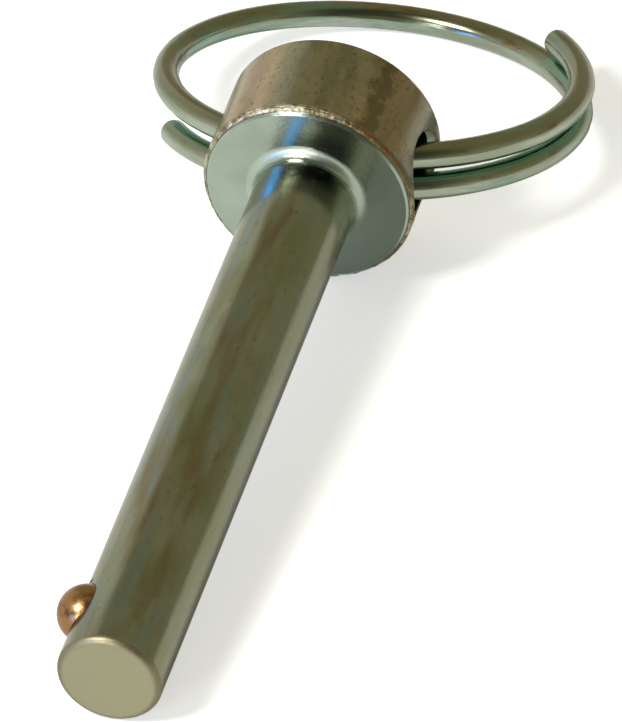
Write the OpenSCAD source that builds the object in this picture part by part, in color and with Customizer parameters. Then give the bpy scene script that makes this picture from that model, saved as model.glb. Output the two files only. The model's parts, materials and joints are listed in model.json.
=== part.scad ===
// Detent pin: a turned pin with a sprung ball near its tip and a split ring through its head.
// It lies on a flat surface on the tip's edge and the head's rim, with the ring dropped behind the head.
// Millimetres. +Z is up, the shank points to -Y and the ring hole runs along X.

/* [Shank] */
// Diameter of the shank
shank_d = 12.7; // [11:0.1:16]
// Reach of the shank in front of the head
shank_reach = 88.9; // [70:0.1:160]
// Round at the tip's edge
tip_round = 0.9; // [0.2:0.1:1.5]
// Fillet where the shank meets the head
root_fillet = 1.4; // [0.4:0.1:2.4]

/* [Head] */
// Diameter of the head
head_d = 26.5; // [23:0.1:32]
// Wall between the front face and the ring hole
front_wall = 1.8; // [1.5:0.1:5]
// Wall between the ring hole and the back face
back_wall = 2; // [1.6:0.1:5]
// Width of the bevel round the front edge
rim_bevel = 0.6; // [0.2:0.1:1.2]
// Height of the step between the bevel and the front face
rim_step = 0.25; // [0.1:0.05:0.6]
// Round at the edge of the front face
face_round = 0.2; // [0.05:0.05:0.25]
// Round at the back edge
back_round = 0.8; // [0.3:0.1:1.5]

/* [Split ring] */
// Mean diameter of the ring's turns
ring_d = 51.4; // [42:0.1:70]
// Diameter of the ring's wire
ring_wire_d = 3.3; // [2:0.1:4]
// Angle that the wire turns through from end to end
ring_turn = 553; // [490:1:600]
// Angle of the upper end, counted from the right-hand side towards the far side
ring_start = 44; // [0:1:60]
// Gap between the turns where they lie closed
ring_gap = 0.5; // [0.05:0.05:0.8]
// How much further the lower end springs away
ring_spread = 0.9; // [0.2:0.1:3]
// Round at the cut ends of the wire
ring_end_round = 0.8; // [0.1:0.1:0.9]
// How far the ring has slipped along its hole, to the right
ring_slip = 0.4; // [-0.8:0.1:0.8]
// How far the ring has dropped in its hole
ring_settle = 0.3; // [0:0.05:0.8]
// Clearance between the wire and the ring hole where they come closest
ring_clearance = 0.1; // [0.1:0.05:1]
// Width of the bevel at each mouth of the ring hole
hole_bevel = 0.8; // [0.3:0.1:1.2]

/* [Detent ball] */
// Diameter of the ball
ball_d = 7.144; // [5.5:0.05:8]
// Distance of the ball's axis from the tip
ball_setback = 8.8; // [6:0.1:20]
// How far the ball stands out of the shank
ball_stand = 2.4; // [1.2:0.1:2.6]
// Turn of the ball round the shank, upwards from the ring hole's axis
ball_turn = 18; // [-90:1:90]
// Running clearance round the ball
ball_clearance = 0.06; // [0.02:0.01:0.1]
// Wall left behind the point of the ball's bore
bore_wall = 1.5; // [0.8:0.1:2]
// Point angle of the drill that made the bore
drill_angle = 118; // [90:1:140]
// Width of the two stake marks that close the mouth over the ball
stake_width = 0.7; // [0.3:0.1:1]
// Depth of the stake marks
stake_depth = 0.3; // [0.1:0.05:0.5]
// Land between the mouth and each stake mark
stake_land = 0.35; // [0.2:0.05:0.6]

/* [Ball spring] */
// Diameter of the spring's wire
spring_wire_d = 0.5; // [0.3:0.05:0.6]
// Gap between the spring's coils and the wall of the bore
spring_side_gap = 0.4; // [0.2:0.05:0.8]
// Number of coils, with a closed one at each end
spring_coils = 5; // [4:0.5:6]
// Gap left at the spring's two ends and between its closed coils
spring_gap = 0.03; // [0.01:0.01:0.1]

/* [Hidden] */

$fn = 96;
past = 1;                                  // how far a cut runs past the face that it opens
full_turn = 360;

shank_r = shank_d / 2;
head_r = head_d / 2;
face_r = head_r - rim_bevel;

// Split ring, in its own frame: x along the ring hole, y away from the head, z along the ring's axis
ring_r = ring_d / 2;
ring_wire_r = ring_wire_d / 2;
ring_pitch = ring_wire_d + ring_gap;
ring_spread_power = 2.8;
bow_ahead = 0.58;                          // share of the wire's bow that lies in front of the hole's axis
ring_step = 4.5;                           // angle between two sections of the ring's wire
ring_sides = 16;
end_steps = 3;
head_pass = ring_start + 90;               // turned angle at which the wire first crosses the head
sagitta = ring_r - sqrt(pow(ring_r, 2) - pow(head_r, 2));
ring_centre_y = ring_r - bow_ahead * sagitta;

// Drop of the wire below its upper end after turning through an angle
function ring_drop(turned) =
    ring_pitch * turned / full_turn
    + ring_spread * pow(max(0, turned - full_turn) / (ring_turn - full_turn), ring_spread_power);

// Mean drop of the two passes of wire that lie one over the other
function pass_drop(turned) = (ring_drop(turned) + ring_drop(turned + full_turn)) / 2;

function ring_axis(turned) =
    let (around = ring_start - turned)
    [
        ring_slip + ring_r * cos(around),
        ring_centre_y + ring_r * sin(around),
        pass_drop(head_pass) - ring_settle - ring_drop(turned)
    ];

// Ring hole: wide enough for both passes of wire at any swing of the ring
mouth_angles = [for (side = [-1, 1]) acos((side * head_r - ring_slip) / ring_r)];
pass_reach = max([
    for (around = concat(mouth_angles, [90]), pass = [0, 1])
        let (point = ring_axis(ring_start + around + pass * full_turn))
        norm([point[1], point[2]])
]);
ring_hole_r = pass_reach + ring_wire_r + ring_clearance;
ring_hole_z = front_wall + ring_hole_r;
head_length = ring_hole_z + ring_hole_r + back_wall;
mouth_x = sqrt(pow(head_r, 2) - pow(ring_hole_r, 2));

// Detent ball and its bore, measured from the shank's axis along the ball's own axis
ball_r = ball_d / 2;
bore_r = ball_r + ball_clearance;
ball_out = shank_r + ball_stand - ball_r;
half_drill = drill_angle / 2;
bore_floor = bore_r / tan(half_drill) + bore_wall - shank_r;
mouth_r = sqrt(pow(bore_r, 2) - pow(shank_r - ball_out, 2));

// Ball spring: it bears on the drill's cone below and on the ball above
spring_wire_r = spring_wire_d / 2;
spring_r = bore_r - spring_side_gap - spring_wire_r;
spring_low = bore_floor
    + (spring_wire_r + spring_gap - (bore_r - spring_r) * cos(half_drill)) / sin(half_drill);
spring_high = ball_out
    - sqrt(pow(ball_r + spring_wire_r + spring_gap, 2) - pow(spring_r, 2));
closed_pitch = spring_wire_d + spring_gap;
open_pitch = (spring_high - spring_low - 2 * closed_pitch) / (spring_coils - 2);
spring_sides = 8;
spring_step = 22.5;

// Lying down: the pin leans on the tip's edge and the head's rim
lean = atan2(head_r - shank_r, shank_reach - tip_round + rim_step + rim_bevel);
head_height = head_r * cos(lean) - (rim_step + rim_bevel) * sin(lean);
hinge_height = head_height + ring_hole_z * sin(lean);

// Lying down: the ring drops until the first point of its wire meets the same surface
ring_slope = min([
    for (turned = [0 : ring_step : ring_turn])
        let (
            along = ring_axis(turned)[1],
            above = ring_axis(turned)[2],
            arm = norm([along, above])
        )
        if (arm > hinge_height)
            asin((hinge_height - ring_wire_r) / arm) + atan2(above, along)
]);

// Along Y, the middle of the whole object lies at zero
far_y = ring_axis(ring_start + 270)[1];
far_z = ring_axis(ring_start + 270)[2];
tip_y = -(shank_reach - tip_round) * cos(lean) - (shank_r - tip_round) * sin(lean) - tip_round;
ring_y = ring_hole_z * cos(lean) + far_y * cos(ring_slope) + far_z * sin(ring_slope) + ring_wire_r;
head_y = -(tip_y + ring_y) / 2;
hinge_y = head_y + ring_hole_z * cos(lean);

// Stands its children, modelled along +Z from the front face, in the lying position
module lay_down() {
    translate([0, head_y, head_height])
        rotate([lean - 90, 0, 0])
            children();
}

// Points its children's +Z out of the shank, through the ball
module on_ball_axis() {
    translate([0, 0, ball_setback - shank_reach])
        rotate([0, 0, ball_turn])
            rotate([0, -90, 0])
                children();
}

// Half section of a bar from y = 0 up, with a round at its top edge
module bar_section(radius, length, round_r) {
    square([radius, length - round_r]);
    square([radius - round_r, length]);
    translate([radius - round_r, length - round_r])
        circle(round_r);
}

module shank_section() {
    mirror([0, 1])
        intersection() {
            bar_section(shank_r, shank_reach, tip_round);
            square([shank_r, shank_reach]);
        }
}

module fillet_section() {
    difference() {
        translate([0, -root_fillet])
            square([shank_r + root_fillet, root_fillet]);
        translate([shank_r + root_fillet, -root_fillet])
            circle(root_fillet);
    }
}

module head_section() {
    intersection() {
        union() {
            bar_section(face_r, head_length, back_round);
            translate([0, rim_step + rim_bevel])
                bar_section(head_r, head_length - rim_step - rim_bevel, back_round);
            translate([0, rim_step])
                polygon([[0, 0], [face_r, 0], [head_r, rim_bevel], [0, rim_bevel]]);
        }
        polygon([
            [0, 0],
            [face_r - face_round, 0],
            [face_r, face_round],
            [face_r, rim_step],
            [head_r, rim_step],
            [head_r, head_length],
            [0, head_length]
        ]);
    }
}

module ring_hole() {
    translate([0, 0, ring_hole_z])
        rotate([0, 90, 0]) {
            cylinder(h = head_d + 2 * past, r = ring_hole_r, center = true);
            for (side = [0, 180])
                rotate([side, 0, 0])
                    hole_mouth();
        }
}

// Bevel that grows to its full width at the widest place of the head
module hole_mouth() {
    sink = head_r - mouth_x + hole_bevel / 4;
    flare = hole_bevel / sink;
    translate([0, 0, head_r - sink])
        cylinder(h = sink + past, r1 = ring_hole_r, r2 = ring_hole_r + flare * (sink + past));
}

// Half section of the drilled bore, which closes over the ball like a cap
module bore_section() {
    polygon([[0, bore_wall - shank_r], [bore_r, bore_floor], [bore_r, ball_out], [0, ball_out]]);
    translate([0, ball_out])
        intersection() {
            circle(bore_r);
            square(bore_r);
        }
}

module ball_bore() {
    on_ball_axis()
        rotate_extrude()
            bore_section();
}

module stake_marks() {
    on_ball_axis()
        translate([0, 0, shank_r - stake_depth])
            rotate_extrude()
                translate([mouth_r + stake_land, 0])
                    square([stake_width, stake_depth + past]);
}

module pin_body() {
    color("darkkhaki")
        lay_down()
            difference() {
                rotate_extrude() {
                    shank_section();
                    fillet_section();
                    head_section();
                }
                ring_hole();
                ball_bore();
                stake_marks();
            }
}

module detent_ball() {
    color("peru")
        lay_down()
            on_ball_axis()
                translate([0, 0, ball_out])
                    sphere(ball_r);
}

// One round section of a wire
function wire_section(centre, across, up, radius, sides) = [
    for (side = [0 : sides - 1])
        let (angle = full_turn * side / sides)
        centre + radius * (cos(angle) * across + sin(angle) * up)
];

// A wire through a list of sections, closed by a flat face at each end
module wire(sections) {
    sides = len(sections[0]);
    last = len(sections) - 1;
    polyhedron(
        points = [for (section = sections, point = section) point],
        faces = concat(
            [[for (side = [0 : sides - 1]) side]],
            [
                for (i = [0 : last - 1], side = [0 : sides - 1])
                    let (next = (side + 1) % sides)
                    [i * sides + next, i * sides + side, (i + 1) * sides + side, (i + 1) * sides + next]
            ],
            [[for (side = [sides - 1 : -1 : 0]) last * sides + side]]
        ),
        convexity = 10
    );
}

// Section of the ring after turning through an angle, thinner where the cut end is rounded
function ring_section(turned, radius) =
    let (
        around = ring_start - turned,
        outward = [cos(around), sin(around), 0],
        ahead = ring_axis(turned + 1) - ring_axis(turned - 1),
        up = cross(outward, ahead)
    )
    wire_section(ring_axis(turned), outward, up / norm(up), radius, ring_sides);

module split_ring() {
    end_angle = ring_end_round / ring_r * 180 / PI;
    body_steps = ceil((ring_turn - 2 * end_angle) / ring_step);
    // Each rounded end is a quarter circle of sections: how far in, and how much of the round is left
    start_stations = [
        for (i = [0 : end_steps - 1])
            [end_angle * (1 - cos(90 * i / end_steps)), 1 - sin(90 * i / end_steps)]
    ];
    body_stations = [
        for (i = [0 : body_steps])
            [end_angle + (ring_turn - 2 * end_angle) * i / body_steps, 0]
    ];
    end_stations = [
        for (i = [end_steps - 1 : -1 : 0])
            [ring_turn - start_stations[i][0], start_stations[i][1]]
    ];
    color("darkseagreen")
        translate([0, hinge_y, hinge_height])
            rotate([-ring_slope, 0, 0])
                wire([
                    for (station = concat(start_stations, body_stations, end_stations))
                        ring_section(station[0], ring_wire_r - ring_end_round * station[1])
                ]);
}

// Height of the spring's wire after a number of coils
function spring_rise(coil) =
    closed_pitch * min(coil, 1)
    + open_pitch * max(0, min(coil - 1, spring_coils - 2))
    + closed_pitch * max(0, coil - spring_coils + 1);

function spring_section(coil) =
    let (
        outward = [cos(full_turn * coil), sin(full_turn * coil), 0],
        centre = spring_r * outward + [0, 0, spring_low + spring_rise(coil)]
    )
    wire_section(centre, outward, [0, 0, 1], spring_wire_r, spring_sides);

module ball_spring() {
    steps = spring_coils * full_turn / spring_step;
    color("silver")
        lay_down()
            on_ball_axis()
                wire([for (i = [0 : steps]) spring_section(spring_coils * i / steps)]);
}

pin_body();
detent_ball();
ball_spring();
split_ring();
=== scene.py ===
import json
import math
import random

import bpy
from mathutils import Euler, Matrix, Vector, noise


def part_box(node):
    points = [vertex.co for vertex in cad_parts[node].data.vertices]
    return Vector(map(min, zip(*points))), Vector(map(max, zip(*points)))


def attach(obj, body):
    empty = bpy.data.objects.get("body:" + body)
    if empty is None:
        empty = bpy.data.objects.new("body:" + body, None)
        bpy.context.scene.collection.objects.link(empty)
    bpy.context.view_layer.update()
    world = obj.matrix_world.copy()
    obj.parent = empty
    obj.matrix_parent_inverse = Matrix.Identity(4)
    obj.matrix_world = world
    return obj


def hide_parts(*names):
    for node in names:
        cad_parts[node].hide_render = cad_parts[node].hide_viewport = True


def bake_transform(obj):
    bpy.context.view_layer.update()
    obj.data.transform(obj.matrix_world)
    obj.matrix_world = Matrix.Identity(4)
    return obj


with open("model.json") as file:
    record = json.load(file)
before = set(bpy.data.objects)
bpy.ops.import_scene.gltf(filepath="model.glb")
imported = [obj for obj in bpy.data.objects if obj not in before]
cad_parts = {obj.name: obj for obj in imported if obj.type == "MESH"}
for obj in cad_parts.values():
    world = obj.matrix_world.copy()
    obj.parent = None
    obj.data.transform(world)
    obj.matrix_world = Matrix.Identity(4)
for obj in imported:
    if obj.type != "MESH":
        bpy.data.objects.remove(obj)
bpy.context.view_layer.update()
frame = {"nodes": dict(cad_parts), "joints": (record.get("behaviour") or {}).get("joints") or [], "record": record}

mm = 0.001  # the model is in metres
nodes = frame["nodes"]
mounts = {mount["name"]: mount for mount in frame["record"]["mounts"]}

# The pin's own frame: origin on the front face, z from the tip towards the head, y downwards
tipward = Vector(mounts["shoulder"]["axis"])
facePoint = Vector(mounts["shoulder"]["pos_m"])
shankPoint = Vector(mounts["shank"]["pos_m"])
faceCentre = shankPoint + tipward * (facePoint - shankPoint).dot(tipward)
pinTurn = math.atan2(-tipward.z, -tipward.y) - math.pi / 2

# The ring's own frame: origin at its centre, z along its axis
ringCentre = Vector(mounts["ring_eye"]["pos_m"])
ringAxis = Vector(mounts["ring_eye"]["axis"])
ringTurn = -math.atan2(ringAxis.y, ringAxis.z)
print("frame loaded:", ", ".join(sorted(nodes)))


# The numbers are those of the sRGB curve
def linearColour(hexColour):
    channels = [int(hexColour[i:i + 2], 16) / 255 for i in (1, 3, 5)]
    linear = [c / 12.92 if c <= 0.04045 else ((c + 0.055) / 1.055) ** 2.4 for c in channels]
    return (*linear, 1.0)


# Adds a node; inputs holds a value or a socket for each input, by name or number
def addNode(tree, kind, inputs=None, **settings):
    node = tree.nodes.new("ShaderNode" + kind)
    for name, value in settings.items():
        setattr(node, name, value)
    for name, value in (inputs or {}).items():
        if isinstance(value, bpy.types.NodeSocket):
            tree.links.new(value, node.inputs[name])
        else:
            node.inputs[name].default_value = value
    return node


def newMaterial(name):
    material = bpy.data.materials.new(name)
    material.use_nodes = True
    material.node_tree.nodes.clear()
    return material, material.node_tree


def dress(piece, material):
    piece.data.materials.clear()
    piece.data.materials.append(material)


# Where a point of the surface lies, in mm, in a frame turned about the scene's x
def placeFrom(tree, origin=(0, 0, 0), turn=0.0):
    where = addNode(tree, "TexCoord").outputs["Object"]
    return addNode(tree, "Mapping", {
        "Vector": where, "Location": origin, "Rotation": (turn, 0, 0),
        "Scale": (mm, mm, mm)}, vector_type="TEXTURE").outputs[0]


def distanceFromAxis(tree, parts):
    flat = addNode(tree, "CombineXYZ", {0: parts.outputs["X"], 1: parts.outputs["Y"]})
    return addNode(tree, "VectorMath", {0: flat.outputs[0]}, operation="LENGTH").outputs["Value"]


# Product of values; of masks, it is where all of them hold, and a number says how strongly
def product(tree, *masks):
    whole = masks[0]
    for mask in masks[1:]:
        whole = addNode(tree, "Math", {0: whole, 1: mask}, operation="MULTIPLY").outputs[0]
    return whole


# Adds so much of a pattern to what is there
def addPattern(tree, whole, pattern, amount):
    return addNode(tree, "Math", {0: pattern, 1: amount, 2: whole},
                   operation="MULTIPLY_ADD").outputs[0]


# Mask that rises from 0 to 1 across an edge, which is where it starts and where it is full
def rise(tree, value, edge):
    return addNode(tree, "MapRange", {"Value": value, "From Min": edge[0], "From Max": edge[1]},
                   interpolation_type="SMOOTHSTEP").outputs["Result"]


# Mask between two edges
def stripe(tree, value, edges):
    return product(tree, *[rise(tree, value, edge) for edge in edges])


def cover(tree, mask, under, over):
    return addNode(tree, "Mix", {0: mask, 6: under, 7: over}, data_type="RGBA").outputs[2]


# Lays a tint where all the masks hold; a tint is a colour and how strongly it covers
def tinted(tree, under, tint, *masks):
    return cover(tree, product(tree, *masks, tint[1]), under, linearColour(tint[0]))


# Patches of a finish: noise with grains so many mm across, longer or shorter in each direction
def patches(tree, place, grain, detail, edge, seed, stretch=(1, 1, 1)):
    scaled = addNode(tree, "Mapping", {
        "Vector": place, "Location": (seed, seed, seed),
        "Scale": [1 / (grain * share) for share in stretch]})
    cloud = addNode(tree, "TexNoise", {
        "Vector": scaled.outputs[0], "Scale": 1, "Detail": detail, "Roughness": 0.6})
    return rise(tree, cloud.outputs[0], edge)


# Bare metal all through; height is in mm
def metalSurface(tree, colour, rough, height=None):
    surface = {"Base Color": colour, "Metallic": 1.0, "Roughness": rough}
    if height is not None:
        bump = addNode(tree, "Bump", {"Height": height, "Distance": mm, "Strength": 1.0})
        surface["Normal"] = bump.outputs[0]
    shader = addNode(tree, "BsdfPrincipled", surface)
    addNode(tree, "OutputMaterial", {"Surface": shader.outputs[0]})


# Pin: turned steel with bright zinc plate. The clear chromate over it gives clouds of olive,
# brown and blue-green. The shank is the glossiest, the flat face the palest, the head's side is
# stained, and the rim and the tip are the dullest. Painted shade lies in the corner at the shank's
# root, on the right of the head's side and round the tip's edge; painted reflections lie down the
# shank's right side and at the head's far right; the paler fillet is a painted highlight.
headGrey = "#9A9C8A"
# Stains on the head's side, also used for its painted shade
headStainAndShade = "#62563C"
pinLook = {
    "shank": "#91937B",
    "face": "#B9C6B8",
    "headSide": "#BCA885",
    "rim": "#CFC7AE",

    # Tints, each with how strongly it covers what is under it
    "brownCloud": ("#82755A", 1.0),
    "oliveCloud": ("#7C7D58", 0.7),
    "blueCloud": ("#84928B", 0.75),
    # painted reflection: the shank's right side, where it mirrors the floor, tinted greener
    "flankReflection": ("#8A8E74", 0.6),
    "grime": ("#4E4A34", 0.3),
    # painted shade in the corner at the shank's root
    "rootShade": ("#191A13", 0.9),
    "faceShade": ("#A8B6A8", 1.0),
    # painted highlight: paler metal on the fillet brightens the highlight it shows
    "fillet": ("#DCE5D8", 0.25),
    "headBand": ("#9E9577", 1.0),
    "pinkStripe": ("#B79C7E", 0.8),
    "greyStripe": (headGrey, 0.6),
    "darkStripe": (headStainAndShade, 0.75),
    "shadedSide": (headStainAndShade, 0.4),
    # painted reflection of the floor at the head's far right
    "greyReflection": (headGrey, 0.8),
    "stain": (headStainAndShade, 0.4),
    "mottle": (headStainAndShade, 0.2),
    "speck": (headStainAndShade, 0.6),
    "rimDull": ("#7D7152", 1.0),
    "rimRust": ("#8A6238", 0.85),
    "tip": ("#A9A688", 1.0),
    # painted shade round the tip's rounded edge, dimming its highlight
    "tipRingShade": ("#82795F", 0.8),

    "shankRoughness": 0.14,
    "faceRoughness": 0.18,
    "filletRoughness": 0.3,
    "headRoughness": 0.21,
    "rimRoughness": 0.45,
    "tipRoughness": 0.42,
    "wearRoughness": 0.07,  # added where the plate is worn

    # Patterns: the grain is in mm, and the edge is the level of the noise that shows
    "brownPatches": dict(grain=7.0, stretch=(0.5, 0.5, 2.6), detail=2, edge=(0.4, 0.64), seed=3.0),
    "olivePatches": dict(grain=7.0, stretch=(0.7, 0.7, 1.8), detail=2, edge=(0.4, 0.64), seed=11.0),
    "bluePatches": dict(grain=7.0, stretch=(0.4, 0.4, 3.0), detail=2, edge=(0.48, 0.68), seed=23.0),
    "grimePatches": dict(grain=0.55, stretch=(1, 1, 2.2), detail=3, edge=(0.6, 0.7), seed=19.0),
    "facePatches": dict(grain=9.0, detail=2, edge=(0.35, 0.7), seed=5.0),
    "rootPatches": dict(grain=1.3, stretch=(1, 1, 0.8), detail=4, edge=(0.22, 0.5), seed=83.0),
    "bandPatches": dict(grain=7.0, stretch=(0.8, 0.8, 8.0), detail=1, edge=(0.44, 0.58), seed=37.0),
    "stainPatches": dict(grain=5.5, stretch=(0.6, 0.6, 2.5), detail=4, edge=(0.42, 0.66),
                         seed=31.0),
    "speckPatches": dict(grain=0.45, stretch=(1, 1, 1.6), detail=3, edge=(0.56, 0.7), seed=7.0),
    "mottlePatches": dict(grain=1.5, stretch=(1, 1, 1.3), detail=4, edge=(0.45, 0.66), seed=47.0),
    "rustPatches": dict(grain=2.0, detail=3, edge=(0.45, 0.6), seed=17.0),
    "dullPatches": dict(grain=1.1, detail=3, edge=(0.4, 0.6), seed=13.0),
    "wearPatches": dict(grain=1.6, stretch=(0.3, 0.3, 3.0), detail=4, edge=(0.3, 0.8), seed=41.0),
    "drawLines": dict(grain=2.2, stretch=(0.5, 0.5, 5.0), detail=2, edge=(0.2, 0.8), seed=53.0),
    "pits": dict(grain=0.5, detail=2, edge=(0.62, 0.75), seed=61.0),
    "tears": dict(grain=0.55, detail=3, edge=(0.3, 0.7), seed=71.0),

    # Edges of the zones, in mm along the pin from the front face
    "headEdge": (-1.5, -1.2),
    "tipEdge": (-87.9, -88.3),
    "rimEdge": (1.6, 0.9),
    "filletAlong": ((-1.7, -1.3), (0.3, 0.1)),
    "rootShadeAlong": ((-5.4, -3.2), (-1.0, -1.6)),
    "rootTearsAlong": ((-7.0, -4.0), (-1.0, -1.6)),
    # In mm from the axis
    "sideEdge": (12.7, 12.95),
    "filletRadii": ((6.38, 6.7), (7.85, 7.5)),
    "tipRingEdge": (5.3, 6.0),
    # In mm to the right of the axis
    "flankReflectionEdge": (3.0, 5.2),
    "rootShadeAcross": ((-3.0, -0.9), (5.4, 3.4)),
    "pinkAcross": ((-9.9, -8.6), (-6.6, -8.0)),
    "greyAcross": ((-4.6, -3.2), (-1.4, -2.6)),
    "darkAcross": ((6.1, 7.4), (9.0, 8.0)),
    "shadedEdge": (4.0, 9.0),
    "greyReflectionEdge": (11.2, 12.2),
    "brownedEdge": (-1.0, 7.0),
    "stripeWaver": 0.9,     # mm that a stripe's edge wanders
    # In mm below the axis
    "rootShadeTop": (-1.0, -3.5),
    "headTop": (2.0, -4.0),
    "brownedTop": (1.0, -4.0),

    # Relief, in mm
    "latheMark": 0.45,      # between the lathe marks, coarser than real so that they show
    "latheWander": 0.6,     # how unevenly they run
    "latheDepth": 0.004,
    "drawDepth": 0.008,
    "pitDepth": 0.006,
    "rootTearDepth": 0.012,
    "rimTearDepth": 0.09,
}
bandsPerUnit = 3.2  # that a wave texture draws at scale 1


def shankColour(tree, place, right, down, along):
    look = pinLook
    colour = linearColour(look["shank"])
    for cloud in ("brown", "olive", "blue"):
        colour = tinted(tree, colour, look[cloud + "Cloud"],
                        patches(tree, place, **look[cloud + "Patches"]))
    # Painted reflection: the shank's right side tinted greener where it mirrors the floor
    colour = tinted(tree, colour, look["flankReflection"], rise(tree, right, look["flankReflectionEdge"]))
    colour = tinted(tree, colour, look["grime"], patches(tree, place, **look["grimePatches"]))
    # Painted shade: the corner at the shank's root darkened in ragged patches
    return tinted(tree, colour, look["rootShade"],
                  stripe(tree, along, look["rootShadeAlong"]),
                  stripe(tree, right, look["rootShadeAcross"]),
                  rise(tree, down, look["rootShadeTop"]),
                  patches(tree, place, **look["rootPatches"]))


# The head's side has stripes and stains that run from face to face, fine specks, painted shade towards its right
# and a painted reflection at its far right
def headSideColour(tree, place, right, down):
    look = pinLook
    mottle = patches(tree, place, **look["mottlePatches"])
    onTop = rise(tree, down, look["headTop"])
    wavy = addPattern(tree, right, mottle, look["stripeWaver"])
    colour = tinted(tree, linearColour(look["headSide"]), look["headBand"],
                    patches(tree, place, **look["bandPatches"]))
    for name in ("pink", "grey", "dark"):
        colour = tinted(tree, colour, look[name + "Stripe"],
                        stripe(tree, wavy, look[name + "Across"]), onTop)
    # Painted shade darkens the right of the head's side
    colour = tinted(tree, colour, look["shadedSide"], rise(tree, right, look["shadedEdge"]), onTop)
    # Painted reflection of the floor, light along the head's far right
    colour = tinted(tree, colour, look["greyReflection"], rise(tree, wavy, look["greyReflectionEdge"]), onTop)
    colour = tinted(tree, colour, look["stain"], patches(tree, place, **look["stainPatches"]))
    colour = tinted(tree, colour, look["mottle"], mottle)
    return tinted(tree, colour, look["speck"], patches(tree, place, **look["speckPatches"]))


def brightZincPlate():
    look = pinLook
    material, tree = newMaterial("bright_zinc_plate_turned")
    place = placeFrom(tree, faceCentre, pinTurn)
    parts = addNode(tree, "SeparateXYZ", {0: place})
    right, down, along = [parts.outputs[axis] for axis in "XYZ"]
    radius = distanceFromAxis(tree, parts)

    onHead = rise(tree, along, look["headEdge"])
    onSide = product(tree, rise(tree, radius, look["sideEdge"]), onHead)
    onFillet = product(tree, stripe(tree, radius, look["filletRadii"]),
                       stripe(tree, along, look["filletAlong"]))
    onRim = product(tree, onSide, rise(tree, along, look["rimEdge"]))
    onTip = rise(tree, along, look["tipEdge"])
    onTipRing = product(tree, onTip, rise(tree, radius, look["tipRingEdge"]))

    face = tinted(tree, linearColour(look["face"]), look["faceShade"],
                  patches(tree, place, **look["facePatches"]))
    colour = cover(tree, onHead, shankColour(tree, place, right, down, along), face)
    # Painted highlight: the fillet's metal made paler
    colour = tinted(tree, colour, look["fillet"], onFillet)
    colour = cover(tree, onSide, colour, headSideColour(tree, place, right, down))

    # The rim is dull and brown towards the right and the top
    browned = product(tree, rise(tree, right, look["brownedEdge"]),
                      rise(tree, down, look["brownedTop"]))
    dull = addNode(tree, "Math", {
        0: patches(tree, place, **look["dullPatches"]), 1: browned}, operation="MAXIMUM")
    rim = tinted(tree, linearColour(look["rim"]), look["rimDull"], dull.outputs[0])
    colour = cover(tree, onRim, colour, rim)
    colour = tinted(tree, colour, look["rimRust"], onRim, browned,
                    patches(tree, place, **look["rustPatches"]))
    colour = tinted(tree, colour, look["tip"], onTip)
    # Painted shade round the tip's rounded edge, dimming its highlight
    colour = tinted(tree, colour, look["tipRingShade"], onTipRing)

    rough = look["shankRoughness"]
    for zone, name in ((onHead, "face"), (onFillet, "fillet"), (onSide, "head"),
                       (onRim, "rim"), (onTip, "tip")):
        rough = addNode(tree, "Mix", {0: zone, 2: rough, 3: look[name + "Roughness"]}).outputs[0]
    wear = patches(tree, place, **look["wearPatches"])
    rough = addPattern(tree, rough, wear, look["wearRoughness"])

    # Lathe marks run round the head's side, and shallow draw lines run along the shank
    marks = addNode(tree, "TexWave", {
        "Vector": place, "Scale": 1 / look["latheMark"] / bandsPerUnit,
        "Distortion": look["latheWander"], "Detail": 1}, bands_direction="Z").outputs[1]
    lines = patches(tree, place, **look["drawLines"])
    pits = patches(tree, place, **look["pits"])
    tears = patches(tree, place, **look["tears"])
    onRoot = stripe(tree, along, look["rootTearsAlong"])
    height = product(tree, onHead, look["latheDepth"], marks)
    height = addPattern(tree, height, lines, look["drawDepth"])
    height = addPattern(tree, height, pits, -look["pitDepth"])
    height = addPattern(tree, height, tears, product(tree, onRoot, look["rootTearDepth"]))
    height = addPattern(tree, height, tears, product(tree, onRim, look["rimTearDepth"]))
    metalSurface(tree, colour, rough, height)
    return material


# Split ring: drawn spring wire with the same plate, greener than the pin
ringLook = {
    "wire": "#BCC7B8",
    "oliveCloud": ("#85855C", 0.4),
    "upperShade": ("#77704A", 0.8),    # painted shade: the upper side darker, where it mirrors the dark room above
    "brownCloud": ("#7E6742", 1.0),
    "tealCloud": ("#6FA08F", 0.5),
    "crevice": ("#5CA592", 0.5),    # between the turns: partly the colour the bath left, partly a painted reflection of the other turn
    "olivePatches": dict(grain=6.0, stretch=(2.5, 0.4, 0.4), detail=4, edge=(0.42, 0.6), seed=2.0),
    "brownPatches": dict(grain=6.0, stretch=(1.2, 0.3, 0.3), detail=4, edge=(0.54, 0.66), seed=9.0),
    "tealPatches": dict(grain=6.0, stretch=(2.0, 0.35, 0.35), detail=3, edge=(0.52, 0.66),
                        seed=15.0),
    "wearPatches": dict(grain=1.5, stretch=(5, 0.4, 0.4), detail=3, edge=(0.3, 0.8), seed=21.0),
    "drawLines": dict(grain=1.6, stretch=(6, 0.35, 0.35), detail=2, edge=(0.2, 0.8), seed=33.0),
    "upperShadeEdge": (-0.1, 0.7),     # how far the surface faces up
    "creviceEdge": (1.4, 0.4),      # mm from the middle between the turns
    "creviceFade": 12,              # degrees past the lower end over which it fades
    "roughness": 0.17,
    "wearRoughness": 0.1,           # added where the plate is worn
    "drawDepth": 0.01,              # mm
    "sharpFrom": 40,                # degrees between faces, at the cut ends

    # How the wire is coiled, as in the part's source
    "coilRadius": 25.7,             # mm
    "startAngle": 44.0,             # degrees from the right-hand side to the upper end
    "turnAngle": 553.0,             # degrees from end to end
    "holeAngle": 90.0,              # degrees from the right-hand side on to the hole
    "pitch": 3.8,                   # mm from turn to turn
    "spread": 0.9,                  # mm further at the lower end
    "spreadPower": 2.8,             # how late it springs away
    "settle": 0.3,                  # mm that the ring has dropped in its hole
}


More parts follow.
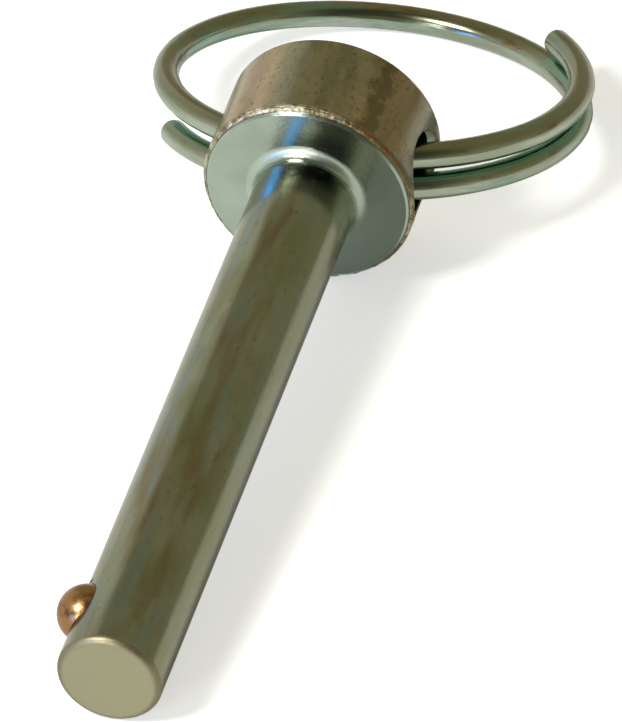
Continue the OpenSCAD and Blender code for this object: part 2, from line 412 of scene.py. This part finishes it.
# The crevice follows the middle between the two turns, as far as they lie over each other
def creviceMask(tree, turn, up):
    look = ringLook
    crossing = look["startAngle"] + look["holeAngle"]
    overlap = look["turnAngle"] - 360
    level = (look["pitch"] * crossing / 360
             + look["spread"] * (crossing / overlap) ** look["spreadPower"] / 2 - look["settle"])
    degrees = product(tree, turn, -180 / math.pi)
    around = addNode(tree, "Math", {0: degrees, 1: look["startAngle"]}, operation="ADD").outputs[0]
    around = addNode(tree, "Math", {0: around, 1: 360, 2: 0}, operation="WRAP").outputs[0]
    share = product(tree, around, 1 / overlap)
    opening = addNode(tree, "Math", {0: share, 1: look["spreadPower"]},
                      operation="POWER").outputs[0]
    drop = addPattern(tree, product(tree, opening, look["spread"] / 2), around, look["pitch"] / 360)
    above = addNode(tree, "Math", {0: up, 1: drop}, operation="ADD").outputs[0]
    away = addNode(tree, "Math", {0: above, 1: level}, operation="SUBTRACT").outputs[0]
    away = addNode(tree, "Math", {0: away}, operation="ABSOLUTE").outputs[0]
    return product(tree, rise(tree, away, look["creviceEdge"]),
                   rise(tree, around, (overlap + look["creviceFade"], overlap)))


def brightZincWire():
    look = ringLook
    material, tree = newMaterial("bright_zinc_plate_drawn_wire")
    place = placeFrom(tree, ringCentre, ringTurn)
    parts = addNode(tree, "SeparateXYZ", {0: place})
    up = parts.outputs["Z"]
    # Unrolled wire: mm along the ring, mm out from the ring's axis, mm up
    turn = addNode(tree, "Math", {0: parts.outputs["Y"], 1: parts.outputs["X"]},
                   operation="ARCTAN2").outputs[0]
    wire = addNode(tree, "CombineXYZ", {
        0: product(tree, turn, look["coilRadius"]), 1: distanceFromAxis(tree, parts),
        2: up}).outputs[0]

    normal = addNode(tree, "TexCoord").outputs["Normal"]
    facesUp = addNode(tree, "VectorMath", {0: normal, 1: ringAxis},
                      operation="DOT_PRODUCT").outputs["Value"]
    upperShade = rise(tree, facesUp, look["upperShadeEdge"])
    colour = tinted(tree, linearColour(look["wire"]), look["oliveCloud"],
                    patches(tree, wire, **look["olivePatches"]))
    # Painted shade on the wire's upper side; the brown clouds lie only there
    colour = tinted(tree, colour, look["upperShade"], upperShade)
    colour = tinted(tree, colour, look["brownCloud"], upperShade,
                    patches(tree, wire, **look["brownPatches"]))
    colour = tinted(tree, colour, look["tealCloud"], patches(tree, wire, **look["tealPatches"]))
    # Between the turns: partly the bath's colour, partly a painted reflection of the other turn
    colour = tinted(tree, colour, look["crevice"], creviceMask(tree, turn, up))

    wear = patches(tree, wire, **look["wearPatches"])
    rough = addPattern(tree, look["roughness"], wear, look["wearRoughness"])
    height = product(tree, patches(tree, wire, **look["drawLines"]), look["drawDepth"])
    metalSurface(tree, colour, rough, height)
    return material


# Detent ball: ground and polished copper alloy, warm and glossy, with a browner patina in places
ballLook = {
    "copper": "#A67C53",
    "patina": ("#70482D", 0.8),
    "patinaPatches": dict(grain=2.2, detail=3, edge=(0.45, 0.65), seed=4.0),
    "scuffs": dict(grain=0.6, detail=3, edge=(0.4, 0.7), seed=8.0),
    "roughness": 0.25,
    "scuffRoughness": 0.12,  # added on a scuff
    "scuffDepth": 0.004,     # mm
}


def polishedCopperAlloy():
    look = ballLook
    material, tree = newMaterial("polished_copper_alloy")
    place = placeFrom(tree)
    colour = tinted(tree, linearColour(look["copper"]), look["patina"],
                    patches(tree, place, **look["patinaPatches"]))
    scuffs = patches(tree, place, **look["scuffs"])
    rough = addPattern(tree, look["roughness"], scuffs, look["scuffRoughness"])
    metalSurface(tree, colour, rough, product(tree, scuffs, look["scuffDepth"]))
    return material


# Ball spring: bright drawn spring steel, grey with a straw heat tint and fine scuffs
springLook = {
    "steel": "#A9A9A6",
    "heatTint": ("#8D8064", 0.6),
    "tintPatches": dict(grain=1.2, detail=3, edge=(0.4, 0.65), seed=6.0),
    "scuffs": dict(grain=0.15, detail=2, edge=(0.3, 0.7), seed=12.0),
    "roughness": 0.22,
    "scuffRoughness": 0.1,   # added on a scuff
}


def brightSpringWire():
    look = springLook
    material, tree = newMaterial("bright_spring_steel_wire")
    place = placeFrom(tree)
    colour = tinted(tree, linearColour(look["steel"]), look["heatTint"],
                    patches(tree, place, **look["tintPatches"]))
    scuffs = patches(tree, place, **look["scuffs"])
    metalSurface(tree, colour, addPattern(tree, look["roughness"], scuffs, look["scuffRoughness"]))
    return material


# A wire comes with one flat normal for each triangle: it is welded and shaded smooth
def smoothWire(piece, sharpFrom, weldWithin=0.001 * mm):
    mesh = piece.data
    mesh.attributes.remove(mesh.attributes["custom_normal"])
    mesh.shade_smooth()
    weld = piece.modifiers.new("weld", "WELD")
    weld.merge_threshold = weldWithin
    split = piece.modifiers.new("sharp_ends", "EDGE_SPLIT")
    split.split_angle = math.radians(sharpFrom)


zincPlate = brightZincPlate()
dress(nodes["pin_body"], zincPlate)
dress(nodes["split_ring"], brightZincWire())
dress(nodes["detent_ball"], polishedCopperAlloy())
smoothWire(nodes["split_ring"], ringLook["sharpFrom"])
print("materials done")


# Burr that the lathe left round the head's front edge: a thin ragged lip on the bevel
burrLook = {
    "faceRadius": 12.72,    # mm, inner side of the bevel that it sits on
    "rimRadius": 13.2,      # mm, outer side
    "faceDepth": 0.3,       # mm behind the front face
    "rimDepth": 0.82,
    "thickness": 0.16,      # mm, of which the next two are shares
    "evenShare": 0.55,      # all round
    "raggedShare": 0.9,     # more or less from place to place
    "grit": 0.05,           # mm more at random
    "wander": 0.18,         # share of the bevel's width that the lip wanders
    "wanderSeed": 5.0,      # keeps the wandering apart from the raggedness
    "sunk": 0.12,           # mm that its foot reaches into the head
    "steps": 420,
    "rows": 5,
    "grain": 0.9,           # mm along the edge from one ragged bit to the next
    "seed": 7,
}


def rimBurr():
    look = burrLook
    random.seed(look["seed"])
    inner = Vector((look["faceRadius"], look["faceDepth"]))
    across = Vector((look["rimRadius"], look["rimDepth"])) - inner
    outward = Vector((across.y, -across.x)).normalized()
    foot = inner + across / 2 - outward * look["sunk"]
    around = look["rimRadius"] / look["grain"]
    points, faces = [], []
    for step in range(look["steps"]):
        turn = 2 * math.pi * step / look["steps"]
        ragged, wandering = [noise.noise(Vector((
            math.cos(turn) * around + shift, math.sin(turn) * around, shift)))
            for shift in (0.0, look["wanderSeed"])]
        height = look["thickness"] * (look["evenShare"] + look["raggedShare"] * ragged)
        for row in range(look["rows"] + 1):
            share = row / look["rows"]
            crown = math.sin(math.pi * share)
            lift = crown * (height + look["grit"] * random.random())
            slide = look["wander"] * wandering * crown
            point = inner + across * (share + slide) + outward * lift
            points.append((point.x, point.y, turn))
        points.append((foot.x, foot.y, turn))
    loop = look["rows"] + 2
    for step in range(look["steps"]):
        ahead = (step + 1) % look["steps"]
        for row in range(loop):
            following = (row + 1) % loop
            faces.append((step * loop + row, ahead * loop + row,
                          ahead * loop + following, step * loop + following))
    toRow = Matrix.Translation(faceCentre) @ Matrix.Rotation(pinTurn, 4, "X")
    places = [toRow @ (Vector((r * math.cos(t), r * math.sin(t), z)) * mm) for r, z, t in points]
    mesh = bpy.data.meshes.new("rim_burr")
    mesh.from_pydata(places, [], faces)
    mesh.shade_smooth()
    mesh.update()
    burr = bpy.data.objects.new("rim_burr", mesh)
    bpy.context.scene.collection.objects.link(burr)
    return burr


burr = rimBurr()
dress(burr, zincPlate)
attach(burr, "pin")
print("rim burr done")


# Spring under the ball, built at rest; the ball pressing in would shorten it. Its turns are
# wound so that none touches the next when the ball is fully in, which leaves its two ends close wound.
springShape = {
    "turns": 5,
    "wireRadius": 0.25,   # mm
    "coilRadius": 2.982,  # mm, to the middle of the wire
    "foot": 7.91,         # mm from the ball's centre to the middle of the wire on the bore's floor
    "head": 2.438,        # mm from the ball's centre to the middle of the wire under it
    "stepsPerTurn": 32,
    "sides": 12,
    "rounds": 60,         # enough for a turn's height to settle
}


def coilSpring():
    shape = springShape
    press = next(joint for joint in frame["joints"] if joint["name"] == "ball_press")
    inward = Vector(press["axis"]).normalized()
    travel = press["range_m"][1] / mm
    low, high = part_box("detent_ball")
    ballCentre = (Vector(low) + Vector(high)) / 2
    height = shape["foot"] - shape["head"]
    across = inward.orthogonal().normalized()
    beside = inward.cross(across)
    steps = shape["turns"] * shape["stepsPerTurn"]
    sides = shape["sides"]
    places = []
    for step in range(steps + 1):
        # The turns are even when pressed; each height at rest is found from the smooth blend
        pressedHeight = (height - travel) * step / steps
        restHeight = pressedHeight
        for _ in range(shape["rounds"]):
            share = restHeight / height
            restHeight = pressedHeight + travel * share * share * (3 - 2 * share)
        turn = 2 * math.pi * step / shape["stepsPerTurn"]
        outward = across * math.cos(turn) + beside * math.sin(turn)
        for side in range(sides):
            angle = 2 * math.pi * side / sides
            reach = shape["coilRadius"] + shape["wireRadius"] * math.cos(angle)
            depth = shape["foot"] - restHeight + shape["wireRadius"] * math.sin(angle)
            places.append(ballCentre + (outward * reach + inward * depth) * mm)
    faces = [tuple(range(sides)), tuple(steps * sides + side for side in reversed(range(sides)))]
    for step in range(steps):
        for side in range(sides):
            following = (side + 1) % sides
            faces.append((step * sides + side, (step + 1) * sides + side,
                          (step + 1) * sides + following, step * sides + following))
    mesh = bpy.data.meshes.new("coil_spring")
    mesh.from_pydata(places, [], faces)
    mesh.shade_smooth()
    mesh.update()
    spring = bpy.data.objects.new("coil_spring", mesh)
    bpy.context.scene.collection.objects.link(spring)
    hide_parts("ball_spring")
    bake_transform(spring)
    return spring


dress(coilSpring(), brightSpringWire())
print("ball spring done")


# Studio: a pale floor, a strong soft box high at the front left, a tall white window low beside
# it, a small blue one low on the left, and a dim room: light low on the left, olive behind, dark
# in front and overhead
studioLook = {
    "floor": "#E9E9E6",
    "floorSize": 6.0,       # m
    "floorDrop": 0.02,      # mm under the part, so that nothing lies in the same plane
    "glowSeen": 0.55,       # added to the floor where the camera sees it
    "glowMirrored": 0.05,   # added where a reflection sees it
    "roomBack": "#A6A38A",
    "roomLeft": "#E2E2DA",
    "roomFront": "#55544A",
    "roomLevel": 1.0,
    # Edges of the room's zones, as parts of a direction of length 1
    "leftEdge": (-0.42, -0.56),
    "leftTop": (0.8, 0.4),
    "frontDirection": (0.0, -0.75, 0.66),
    "frontEdge": (0.4, 0.85),
    "lampDistance": 1.3,    # m
    # A lamp's size is in m, and its glare is how bright its own face looks
    "lamps": {
        "key_box": dict(direction=(-0.43, -0.5, 0.75), size=(0.36, 0.4), glare=29.0,
                        colour="#FFFFFF"),
        "low_window": dict(direction=(-0.30, -0.92, 0.25), size=(0.34, 0.5), glare=12.0,
                           colour="#FFFFFF"),
        "cool_window": dict(direction=(-0.65, -0.745, 0.17), size=(0.26, 0.26), glare=14.0,
                            colour="#2C88FF"),
    },
}


def makeFloor():
    look = studioLook
    half = look["floorSize"] / 2
    mesh = bpy.data.meshes.new("floor")
    mesh.from_pydata([(-half, -half, 0), (half, -half, 0), (half, half, 0), (-half, half, 0)],
                     [], [(0, 1, 2, 3)])
    floor = bpy.data.objects.new("floor", mesh)
    bpy.context.scene.collection.objects.link(floor)
    floor.location.z = -look["floorDrop"] * mm
    material, tree = newMaterial("matt_white_paper")
    paper = addNode(tree, "BsdfDiffuse", {"Color": linearColour(look["floor"])})
    path = addNode(tree, "LightPath")
    mirrored = product(tree, path.outputs["Is Glossy Ray"], look["glowMirrored"])
    seen = addPattern(tree, mirrored, path.outputs["Is Camera Ray"], look["glowSeen"])
    glow = addNode(tree, "Emission", {"Color": (1, 1, 1, 1), "Strength": seen})
    both = addNode(tree, "AddShader", {0: paper.outputs[0], 1: glow.outputs[0]})
    addNode(tree, "OutputMaterial", {"Surface": both.outputs[0]})
    dress(floor, material)


def makeRoom():
    look = studioLook
    world = bpy.data.worlds.new("room")
    world.use_nodes = True
    tree = world.node_tree
    tree.nodes.clear()
    direction = addNode(tree, "TexCoord").outputs["Generated"]
    parts = addNode(tree, "SeparateXYZ", {0: direction})
    left = product(tree, rise(tree, parts.outputs["X"], look["leftEdge"]),
                   rise(tree, parts.outputs["Z"], look["leftTop"]))
    ahead = addNode(tree, "VectorMath", {0: direction, 1: look["frontDirection"]},
                    operation="DOT_PRODUCT").outputs["Value"]
    front = rise(tree, ahead, look["frontEdge"])
    colour = cover(tree, left, linearColour(look["roomBack"]), linearColour(look["roomLeft"]))
    colour = cover(tree, front, colour, linearColour(look["roomFront"]))
    light = addNode(tree, "Background", {"Color": colour, "Strength": look["roomLevel"]})
    addNode(tree, "OutputWorld", {"Surface": light.outputs[0]})
    bpy.context.scene.world = world


# A soft box in a direction, aimed at the part
def softBox(name, direction, size, glare, colour):
    lamp = bpy.data.lights.new(name, "AREA")
    lamp.shape = "RECTANGLE"
    lamp.size, lamp.size_y = size
    lamp.energy = glare * math.pi * size[0] * size[1]
    lamp.color = linearColour(colour)[:3]
    box = bpy.data.objects.new(name, lamp)
    towards = Vector(direction).normalized()
    box.location = towards * studioLook["lampDistance"]
    box.rotation_euler = towards.to_track_quat("Z", "Y").to_euler()
    bpy.context.scene.collection.objects.link(box)


makeFloor()
makeRoom()
for name, lamp in studioLook["lamps"].items():
    softBox(name, **lamp)
print("studio done")


# Camera, as far away as the long lens needs
cameraLook = {
    "azimuth": 15.36,       # degrees from -Y towards +X
    "elevation": 36.953,    # degrees above the floor
    "roll": -0.502,         # degrees
    "distance": 1.33866,    # m from the point that it aims at
    "aim": (0.004819, 0.0, 0.000715),
    "lens": 641.11,         # mm
    "sensor": 36,           # mm wide
    "sight": 20,            # m that it sees
}


def makeCamera():
    look = cameraLook
    data = bpy.data.cameras.new("camera")
    data.sensor_fit = "HORIZONTAL"
    data.sensor_width = look["sensor"]
    data.lens = look["lens"]
    data.clip_end = look["sight"]
    camera = bpy.data.objects.new("camera", data)
    azimuth, elevation = math.radians(look["azimuth"]), math.radians(look["elevation"])
    ahead = Vector((-math.sin(azimuth) * math.cos(elevation),
                    math.cos(azimuth) * math.cos(elevation), -math.sin(elevation)))
    camera.location = Vector(look["aim"]) - ahead * look["distance"]
    level = Euler((math.pi / 2 - elevation, 0, azimuth)).to_matrix()
    roll = Matrix.Rotation(math.radians(look["roll"]), 3, "Z")
    camera.rotation_euler = (level @ roll).to_euler()
    bpy.context.scene.collection.objects.link(camera)
    bpy.context.scene.camera = camera


makeCamera()
bpy.context.scene.view_settings.view_transform = "Standard"
print("camera done")
